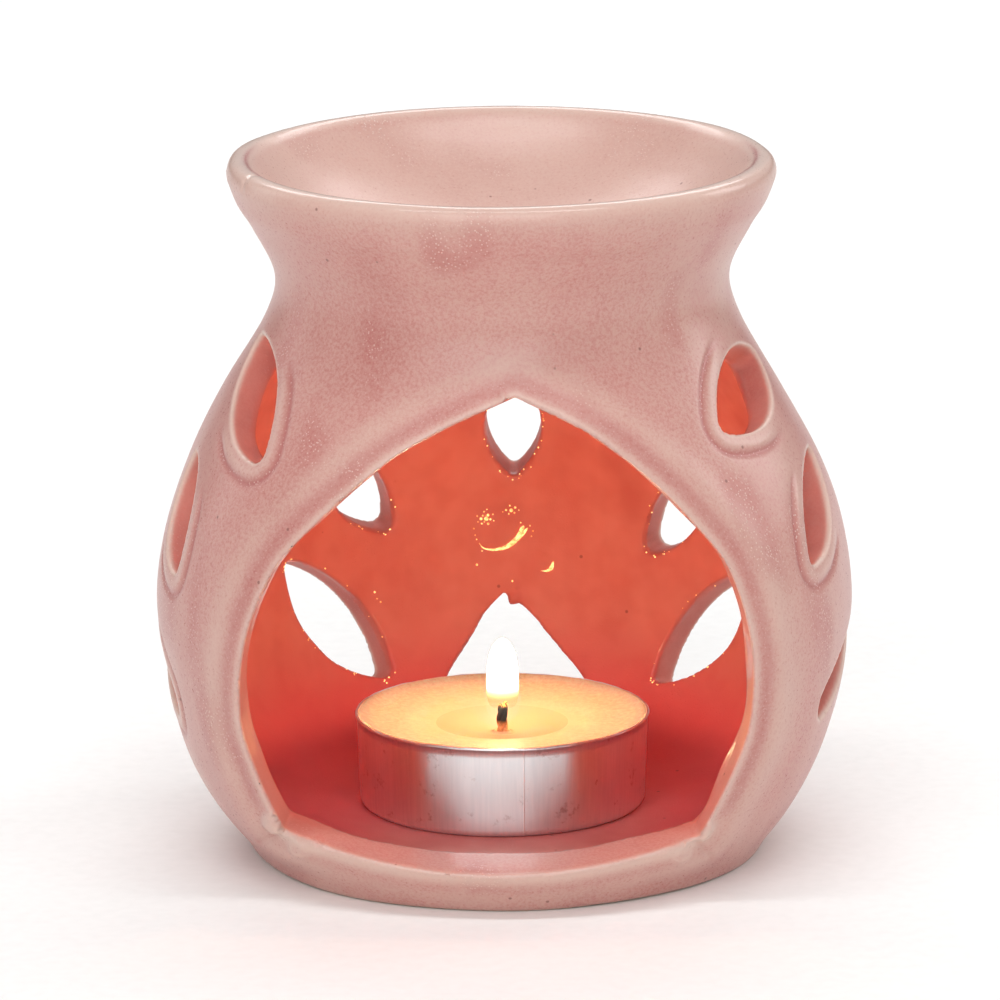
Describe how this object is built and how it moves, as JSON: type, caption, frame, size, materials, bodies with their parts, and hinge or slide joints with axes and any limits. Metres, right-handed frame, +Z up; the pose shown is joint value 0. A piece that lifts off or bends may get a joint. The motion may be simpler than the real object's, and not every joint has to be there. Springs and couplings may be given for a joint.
{
  "type": "essential oil burner",
  "caption": "Pierced round ceramic pot with an oil dish on its neck and a removable tealight in its chamber; the flame warms oil and water in the dish.",
  "frame": {"origin": "centre of the flat underside, on the pot's axis, on the surface that the burner stands on", "axes": "+Z up along the pot's axis; -Y towards the large front opening; +X to the right seen from the front"},
  "size_m": [0.0894, 0.0817, 0.0902],
  "materials": {
    "glazed_stoneware": "gloss",
    "cup_aluminium": "satin",
    "paraffin_wax": "satin",
    "tinplate": "satin",
    "cotton_wick": "matte"
  },
  "bodies": {
    "burner": {"burner_body": "glazed_stoneware", "oil_dish": "glazed_stoneware"},
    "tealight": {"tealight_cup": "cup_aluminium"},
    "candle": {"candle_wax": "paraffin_wax", "wick_sustainer": "tinplate", "wick": "cotton_wick"}
  },
  "joints": [
    {"name": "tealight_slide", "type": "slide", "parent": "burner", "child": "tealight", "axis": [0, -0.9914, 0.1305], "range_m": [0, 0.08]},
    {"name": "candle_lift", "type": "slide", "parent": "tealight", "child": "candle", "axis": [0, 0, 1], "range_m": [0, 0.02]}
  ]
}
